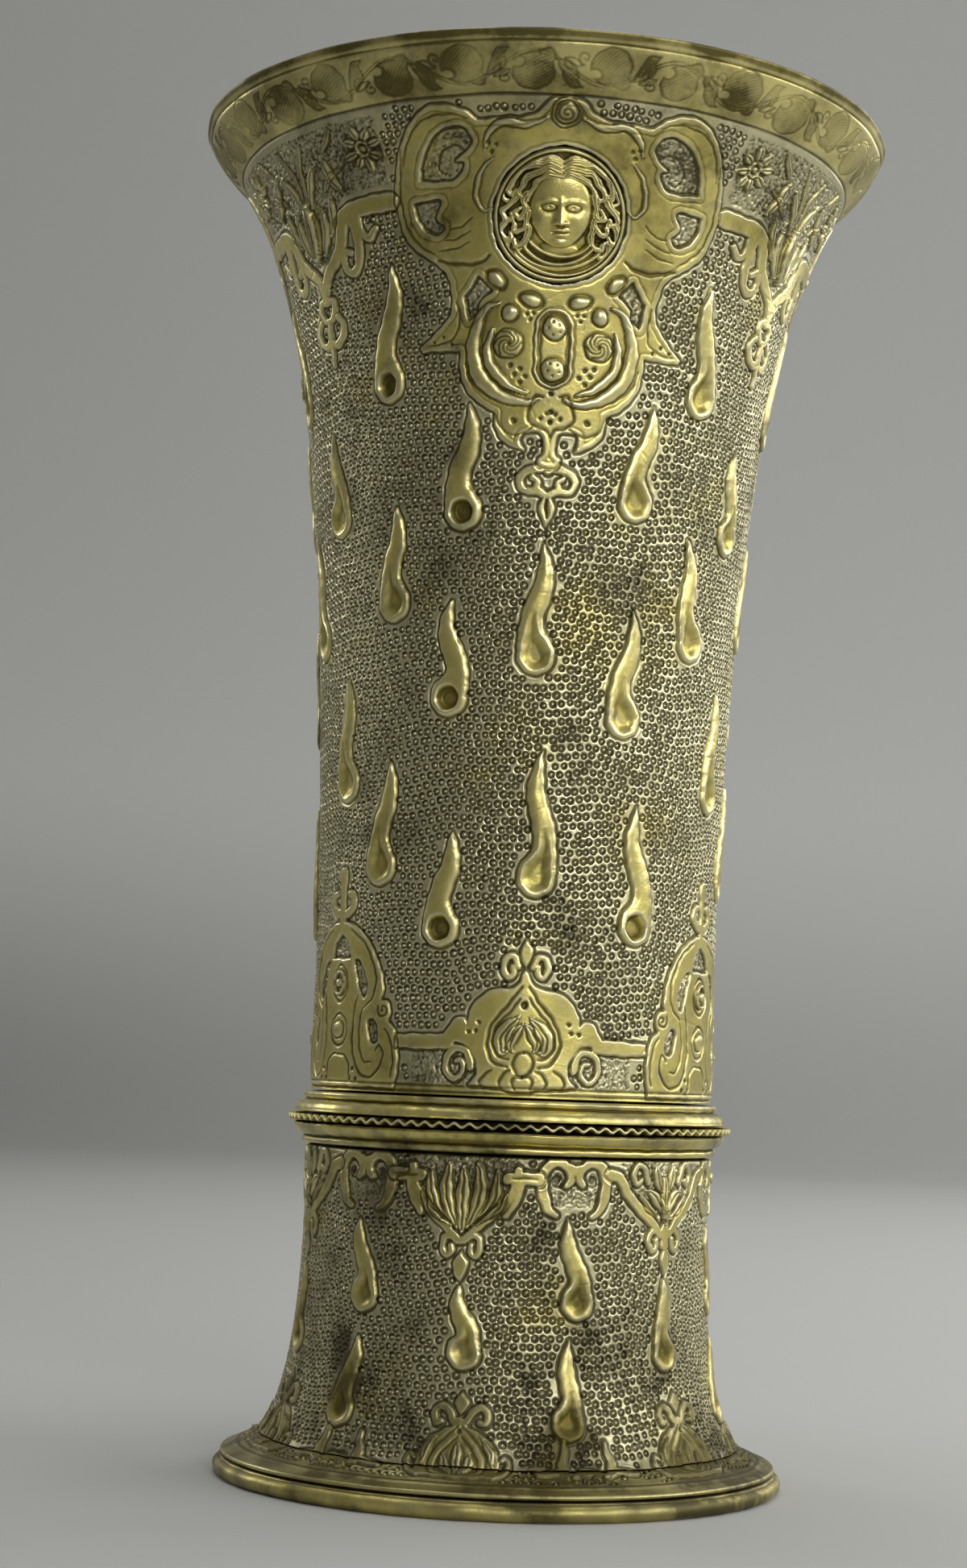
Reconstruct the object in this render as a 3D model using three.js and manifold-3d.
// Footed beaker vase in chased, parcel-gilt brass.
// A raised cup with a wide flared lip stands on a hollow spreading foot. A collar of two
// drawn mouldings with a waved wire between them joins the two, and three cast mask
// medallions are let into the cup wall under the lip.
// Sizes are millimetres, +Z is up, and the origin is the centre of the foot's underside.

import * as THREE from 'three';
import { mergeVertices } from 'three/addons/utils/BufferGeometryUtils.js';
import Module from 'manifold-3d';

const wasm = await Module();
wasm.setup();

// Driving dimensions shared by several pieces
const SEAM = 0.3;                  // open joint between two pieces that touch
const SHEET = 1.0;                 // thickness of the raised cup wall and foot skirt
const NECK_RADIUS = 28.1;          // outside of cup and skirt where they meet the collar
const FLOOR_LEDGE = 1.4;           // width of the mouldings that the cup floor rests on

// Heights, from the table up
const BASE_RING_HEIGHT = 2.5;
const FLANGE_HEIGHT = 2.6;
const SKIRT_HEIGHT = 39.5;
const MOULDING_HEIGHT = 2.8;
const CUP_HEIGHT = 137.1;
const FLOOR_THICKNESS = 1.2;

// Foot
const SKIRT_FLARE = 5.0;           // how far the skirt's lower edge stands outside the neck
const SKIRT_FLARE_HEIGHT = 8.5;    // height over which that flare dies away
const FLANGE_REACH = 5.3;          // how far the flange stands outside the skirt
const FLANGE_LAP = 1.2;            // how far the flange runs in under the skirt
const FLANGE_FALL = 1.9;           // drop of the flange's top from the skirt to its edge
const BASE_RING_PROUD = 0.9;       // how far the base ring stands outside the flange
const BASE_RING_WIDTH = 3.6;
const BASE_RING_TAPER = 0.7;       // the ring is narrower on the table than at its middle

// Collar
const BEAD_PROUD = 0.9;            // how far the thin bead stands outside the neck
const BEAD_HEIGHT = 1.0;
const ROUND_PROUD = 2.0;           // the same for the quarter-round next to the wire
const QUIRK_DEPTH = 0.45;          // groove between the bead and the quarter-round
const WAVE_COUNT = 96;
const WAVE_RISE = 0.5;             // height from a wave's trough to its crest
const WIRE_THICKNESS = 0.4;
const WIRE_DEPTH = 2.2;
const WIRE_PROUD = 2.95;

// Cup
const CUP_FLARE = 11.3;            // long, even widening of the cup from neck to rim
const CUP_FLARE_POWER = 2.56;
const MOUTH_FLARE = 9.9;           // quick widening just under the rim
const MOUTH_FLARE_POWER = 10.4;
const LIP_HEIGHT = 7.2;            // convex engraved band under the rim
const LIP_BULGE = 1.1;

// Medallions
const MEDALLION_COUNT = 3;
const MEDALLION_RADIUS = 8.8;
const MEDALLION_DROP = 21.1;       // from the rim down to a medallion's centre
const MEDALLION_SINK = 0.5;        // depth of the recess that holds it
const MEDALLION_FRAME = 0.9;       // width of its raised border
const FRAME_PROUD = 0.55;
const FIELD_PROUD = 0.1;           // background of the relief, above the cup wall
const HEAD_PROUD = 2.0;

// Facets
const ROUND_SIDES = 48;
const WAVE_STEPS = 4;
const MEDALLION_RINGS = 11;
const MEDALLION_SIDES = 40;

// Levels that follow from the heights
const flangeFloor = BASE_RING_HEIGHT + SEAM;
const flangeTop = flangeFloor + FLANGE_HEIGHT;
const skirtFloor = flangeTop + SEAM;
const skirtTop = skirtFloor + SKIRT_HEIGHT;
const lowerMouldingFloor = skirtTop + SEAM;
const lowerMouldingTop = lowerMouldingFloor + MOULDING_HEIGHT;
const wireFloor = lowerMouldingTop + SEAM;
const wireTop = wireFloor + WAVE_RISE + WIRE_THICKNESS;
const upperMouldingFloor = wireTop + SEAM;
const upperMouldingTop = upperMouldingFloor + MOULDING_HEIGHT;
const cupFloor = upperMouldingTop + SEAM;
const rimTop = cupFloor + CUP_HEIGHT;
const medallionLevel = rimTop - MEDALLION_DROP;

// Radii that follow from the neck
const skirtFootRadius = NECK_RADIUS + SKIRT_FLARE;
const flangeRadius = skirtFootRadius + FLANGE_REACH;
const floorRadius = NECK_RADIUS - SHEET - SEAM;
const collarBore = floorRadius - FLOOR_LEDGE;
const roundRadius = NECK_RADIUS + ROUND_PROUD;
const beadRadius = NECK_RADIUS + BEAD_PROUD;
const wireRadius = NECK_RADIUS + WIRE_PROUD;
const wireBore = wireRadius - WIRE_DEPTH;

// Outside radius of the cup at a level
function cupRadius(level) {
  const rise = Math.max(0, level - cupFloor) / CUP_HEIGHT;
  const flare = CUP_FLARE * rise ** CUP_FLARE_POWER + MOUTH_FLARE * rise ** MOUTH_FLARE_POWER;
  const lip = THREE.MathUtils.clamp((level - rimTop + LIP_HEIGHT) / LIP_HEIGHT, 0, 1);
  return NECK_RADIUS + flare + LIP_BULGE * Math.sin(Math.PI * lip);
}

// Outside radius of the foot skirt at a level
function skirtRadius(level) {
  return NECK_RADIUS + SKIRT_FLARE * Math.exp((skirtFloor - level) / SKIRT_FLARE_HEIGHT);
}

function slopeOf(radiusAt, level) {
  const step = 0.05;
  return (radiusAt(level + step) - radiusAt(level - step)) / (2 * step);
}

// Half section of a sheet of even thickness, from levels listed bottom to top
function sheetSection(radiusAt, levels) {
  const outer = levels.map((level) => new THREE.Vector2(radiusAt(level), level));
  const inner = levels.map((level) => {
    const lean = slopeOf(radiusAt, THREE.MathUtils.clamp(level, levels[0], levels.at(-1) - 0.1));
    return new THREE.Vector2(radiusAt(level) - SHEET * Math.hypot(1, lean), level);
  });
  return [...outer, ...inner.reverse()];
}

// Levels between two heights, closer together towards the top when crowd is over 1
function levelsBetween(low, high, count, crowd) {
  return Array.from({ length: count + 1 }, (_, i) => high - (high - low) * (1 - i / count) ** crowd);
}

// A body of revolution whose section doesn't touch the axis
function ringGeometry(section) {
  return new THREE.LatheGeometry([...section, section[0]], ROUND_SIDES).rotateX(Math.PI / 2);
}

function material(color, roughness) {
  return new THREE.MeshStandardMaterial({ color, roughness, metalness: 1 });
}

const gilt = material(0xb9ad6c, 0.38);
const chased = material(0x8f8a6c, 0.45);
const dark = material(0x6c6748, 0.5);

const vase = new THREE.Group();
const medallions = new THREE.Group();
vase.add(medallions);

function addPiece(group, name, geometry, surface) {
  const mesh = new THREE.Mesh(geometry, surface);
  mesh.name = name;
  group.add(mesh);
}

// Joins a geometry's shared corners and drops everything but positions
function weld(geometry) {
  const bare = geometry.clone();
  bare.deleteAttribute('normal');
  bare.deleteAttribute('uv');
  return mergeVertices(bare, 1e-4);
}

function toSolid(geometry) {
  const welded = weld(geometry);
  return new wasm.Manifold(new wasm.Mesh({
    numProp: 3,
    vertProperties: new Float32Array(welded.getAttribute('position').array),
    triVerts: new Uint32Array(welded.getIndex().array),
  }));
}

function toGeometry(solid) {
  const mesh = solid.getMesh();
  const geometry = new THREE.BufferGeometry();
  geometry.setAttribute('position', new THREE.BufferAttribute(mesh.vertProperties, 3));
  geometry.setIndex(new THREE.BufferAttribute(mesh.triVerts, 1));
  return geometry;
}

// A point of the cup's skin: across and up from a bearing and level, and raised off it
function onCup(bearing, level, across, up, raised) {
  const lean = slopeOf(cupRadius, level);
  const height = level + up / Math.hypot(1, lean);
  const radius = cupRadius(height);
  const angle = bearing + across / radius;
  const tilt = slopeOf(cupRadius, height);
  const normal = 1 / Math.hypot(1, tilt);
  const reach = radius + raised * normal;
  return [reach * Math.sin(angle), -reach * Math.cos(angle), height - raised * normal * tilt];
}

// A round plaque that follows the cup's skin: front(across, up) gives its face's height
function plaque(bearing, radius, rings, front, back) {
  const points = [onCup(bearing, medallionLevel, 0, 0, front(0, 0))];
  for (let ring = 1; ring <= rings; ring += 1) {
    for (let side = 0; side < MEDALLION_SIDES; side += 1) {
      const turn = (2 * Math.PI * side) / MEDALLION_SIDES;
      const across = (radius * ring * Math.cos(turn)) / rings;
      const up = (radius * ring * Math.sin(turn)) / rings;
      points.push(onCup(bearing, medallionLevel, across, up, front(across, up)));
    }
  }
  for (const ring of [1, 0.5]) {
    for (let side = 0; side < MEDALLION_SIDES; side += 1) {
      const turn = (2 * Math.PI * side) / MEDALLION_SIDES;
      const across = radius * ring * Math.cos(turn);
      points.push(onCup(bearing, medallionLevel, across, radius * ring * Math.sin(turn), back));
    }
  }
  points.push(onCup(bearing, medallionLevel, 0, 0, back));
  const loops = rings + 2;
  const last = points.length - 1;
  const faces = [];
  for (let side = 0; side < MEDALLION_SIDES; side += 1) {
    const next = (side + 1) % MEDALLION_SIDES;
    faces.push(0, 1 + side, 1 + next);
    for (let loop = 0; loop < loops - 1; loop += 1) {
      const near = 1 + loop * MEDALLION_SIDES;
      const far = near + MEDALLION_SIDES;
      faces.push(near + side, far + side, far + next);
      faces.push(near + side, far + next, near + next);
    }
    const rear = 1 + (loops - 1) * MEDALLION_SIDES;
    faces.push(rear + side, last, rear + next);
  }
  const geometry = new THREE.BufferGeometry();
  geometry.setAttribute('position', new THREE.Float32BufferAttribute(points.flat(), 3));
  geometry.setIndex(faces);
  return geometry;
}

// Rounded hump of height 1 at its centre that dies away at its edge
function hump(across, up, halfWidth, halfHeight) {
  const away = (across / halfWidth) ** 2 + (up / halfHeight) ** 2;
  return Math.sqrt(Math.max(0, 1 - away));
}

// Relief of a medallion: border, head with side curls, and folds of drapery below
function maskRelief(across, up) {
  const size = MEDALLION_RADIUS;
  const out = Math.hypot(across, up);
  if (out > size - MEDALLION_FRAME) {
    return FRAME_PROUD;
  }
  const head = hump(across, up - 0.08 * size, 0.42 * size, 0.56 * size);
  const nose = 0.3 * hump(across, up - 0.05 * size, 0.09 * size, 0.18 * size);
  const brow = 0.12 * hump(across, up - 0.27 * size, 0.3 * size, 0.08 * size);
  const lips = 0.12 * hump(across, up + 0.24 * size, 0.15 * size, 0.07 * size);
  const curl = 0.55 * (0.7 + 0.3 * Math.cos((9 * up) / size));
  const hair = curl * hump(Math.abs(across) - 0.55 * size, up - 0.1 * size, 0.24 * size, 0.6 * size);
  const crown = 0.6 * hump(across, up - 0.58 * size, 0.45 * size, 0.2 * size);
  const fold = 0.45 + 0.15 * Math.cos((16 * (out - 0.6 * size)) / size);
  const drape = up < -0.35 * size ? fold * hump(across, up + 0.62 * size, 0.5 * size, 0.25 * size) : 0;
  const face = head > 0 ? 0.25 + 0.75 * head + nose + brow + lips : 0;
  const rise = Math.max(face, hair, crown, drape);
  return FIELD_PROUD + (HEAD_PROUD - FIELD_PROUD) * 0.75 * rise;
}

// Cup wall, with a round recess behind each medallion
const bodyLevels = levelsBetween(cupFloor, rimTop - LIP_HEIGHT, 9, 1.5);
const lipLevels = levelsBetween(rimTop - LIP_HEIGHT, rimTop, 5, 1).slice(1);
let cup = toSolid(ringGeometry(sheetSection(cupRadius, [...bodyLevels, ...lipLevels])));
const recessRadius = MEDALLION_RADIUS + SEAM;
for (let i = 0; i < MEDALLION_COUNT; i += 1) {
  const bearing = (2 * Math.PI * i) / MEDALLION_COUNT;
  const cutter = plaque(bearing, recessRadius, 2, () => 2 * SHEET, -MEDALLION_SINK);
  cup = cup.subtract(toSolid(cutter));
  const back = SEAM - MEDALLION_SINK;
  const medallion = plaque(bearing, MEDALLION_RADIUS, MEDALLION_RINGS, maskRelief, back);
  addPiece(medallions, `mask_medallion_${i + 1}`, medallion, gilt);
}
addPiece(vase, 'cup_wall', toGeometry(cup), chased);

// Cup floor: a disc that rests on the collar's ledge inside the wall
const floorSection = [
  new THREE.Vector2(0, cupFloor),
  new THREE.Vector2(floorRadius, cupFloor),
  new THREE.Vector2(floorRadius, cupFloor + FLOOR_THICKNESS),
  new THREE.Vector2(0, cupFloor + FLOOR_THICKNESS),
];
const floor = new THREE.LatheGeometry(floorSection, ROUND_SIDES).rotateX(Math.PI / 2);
addPiece(vase, 'cup_floor', floor, dark);

// Section of a moulding: bead at height 0, quirk, and quarter-round widening to its top
function mouldingSection() {
  const quirk = beadRadius - QUIRK_DEPTH;
  const points = [
    new THREE.Vector2(collarBore, 0),
    new THREE.Vector2(beadRadius - 0.25 * BEAD_PROUD, 0),
    new THREE.Vector2(beadRadius, 0.35 * BEAD_HEIGHT),
    new THREE.Vector2(beadRadius, 0.65 * BEAD_HEIGHT),
    new THREE.Vector2(quirk, BEAD_HEIGHT),
  ];
  const roundSteps = 4;
  for (let i = 1; i <= roundSteps; i += 1) {
    const turn = (Math.PI / 2) * (i / roundSteps);
    const radius = quirk + (roundRadius - quirk) * Math.sin(turn);
    const height = BEAD_HEIGHT + (MOULDING_HEIGHT - BEAD_HEIGHT) * (1 - Math.cos(turn));
    points.push(new THREE.Vector2(radius, height));
  }
  points.push(new THREE.Vector2(collarBore, MOULDING_HEIGHT));
  return points;
}

// The lower moulding carries a spigot that the wire goes round and the upper one sits on
const lowerSection = mouldingSection().map((p) => new THREE.Vector2(p.x, p.y + lowerMouldingFloor));
const ledge = lowerSection.pop();
const spigotRadius = wireBore - SEAM;
const spigotTop = upperMouldingFloor - SEAM;
lowerSection.push(new THREE.Vector2(spigotRadius, lowerMouldingTop));
lowerSection.push(new THREE.Vector2(spigotRadius, spigotTop));
lowerSection.push(new THREE.Vector2(ledge.x, spigotTop));
addPiece(vase, 'collar_lower_moulding', ringGeometry(lowerSection), gilt);

const upperSection = mouldingSection().map((p) => new THREE.Vector2(p.x, upperMouldingTop - p.y));
addPiece(vase, 'collar_upper_moulding', ringGeometry(upperSection.reverse()), gilt);

// Waved wire: a flat strip on edge round the collar, bent up and down in even waves
function wavedWire() {
  const steps = WAVE_COUNT * WAVE_STEPS;
  const positions = [];
  const faces = [];
  for (let i = 0; i < steps; i += 1) {
    const angle = (2 * Math.PI * i) / steps;
    const low = wireFloor + (WAVE_RISE / 2) * (1 - Math.cos(WAVE_COUNT * angle));
    const corners = [
      [wireBore, low],
      [wireRadius, low],
      [wireRadius, low + WIRE_THICKNESS],
      [wireBore, low + WIRE_THICKNESS],
    ];
    for (const [radius, level] of corners) {
      positions.push(radius * Math.cos(angle), radius * Math.sin(angle), level);
    }
    const here = 4 * i;
    const there = 4 * ((i + 1) % steps);
    for (let side = 0; side < 4; side += 1) {
      const next = (side + 1) % 4;
      faces.push(here + side, there + side, there + next);
      faces.push(here + side, there + next, here + next);
    }
  }
  const geometry = new THREE.BufferGeometry();
  geometry.setAttribute('position', new THREE.Float32BufferAttribute(positions, 3));
  geometry.setIndex(faces);
  return geometry;
}
addPiece(vase, 'collar_waved_wire', wavedWire(), gilt);

// Foot skirt
const skirtLevels = levelsBetween(-skirtTop, -skirtFloor, 9, 1.6).map((level) => -level).reverse();
addPiece(vase, 'foot_skirt', ringGeometry(sheetSection(skirtRadius, skirtLevels)), chased);

// Foot flange: seats the skirt's edge on its inner flat and falls away to a rounded edge
const flangeBore = skirtFootRadius - SHEET - FLANGE_LAP;
const flangeEdge = flangeTop - FLANGE_FALL;
const flangeSection = [
  new THREE.Vector2(flangeBore, flangeFloor),
  new THREE.Vector2(flangeRadius - 0.02 * FLANGE_REACH, flangeFloor),
  new THREE.Vector2(flangeRadius, (flangeFloor + flangeEdge) / 2),
  new THREE.Vector2(flangeRadius - 0.12 * FLANGE_REACH, flangeEdge),
  new THREE.Vector2(skirtFootRadius + 0.45 * FLANGE_REACH, flangeEdge + 0.4 * FLANGE_FALL),
  new THREE.Vector2(skirtFootRadius + 0.08 * FLANGE_REACH, flangeTop),
  new THREE.Vector2(flangeBore, flangeTop),
];
addPiece(vase, 'foot_flange', ringGeometry(flangeSection), gilt);

// Base ring: the band that stands on the table
const baseRadius = flangeRadius + BASE_RING_PROUD;
const baseSection = [
  new THREE.Vector2(baseRadius - BASE_RING_WIDTH, 0),
  new THREE.Vector2(baseRadius - BASE_RING_TAPER, 0),
  new THREE.Vector2(baseRadius, 0.4 * BASE_RING_HEIGHT),
  new THREE.Vector2(baseRadius, 0.75 * BASE_RING_HEIGHT),
  new THREE.Vector2(baseRadius - 0.6 * BASE_RING_TAPER, BASE_RING_HEIGHT),
  new THREE.Vector2(baseRadius - BASE_RING_WIDTH, BASE_RING_HEIGHT),
];
addPiece(vase, 'base_ring', ringGeometry(baseSection), gilt);

export default vase;
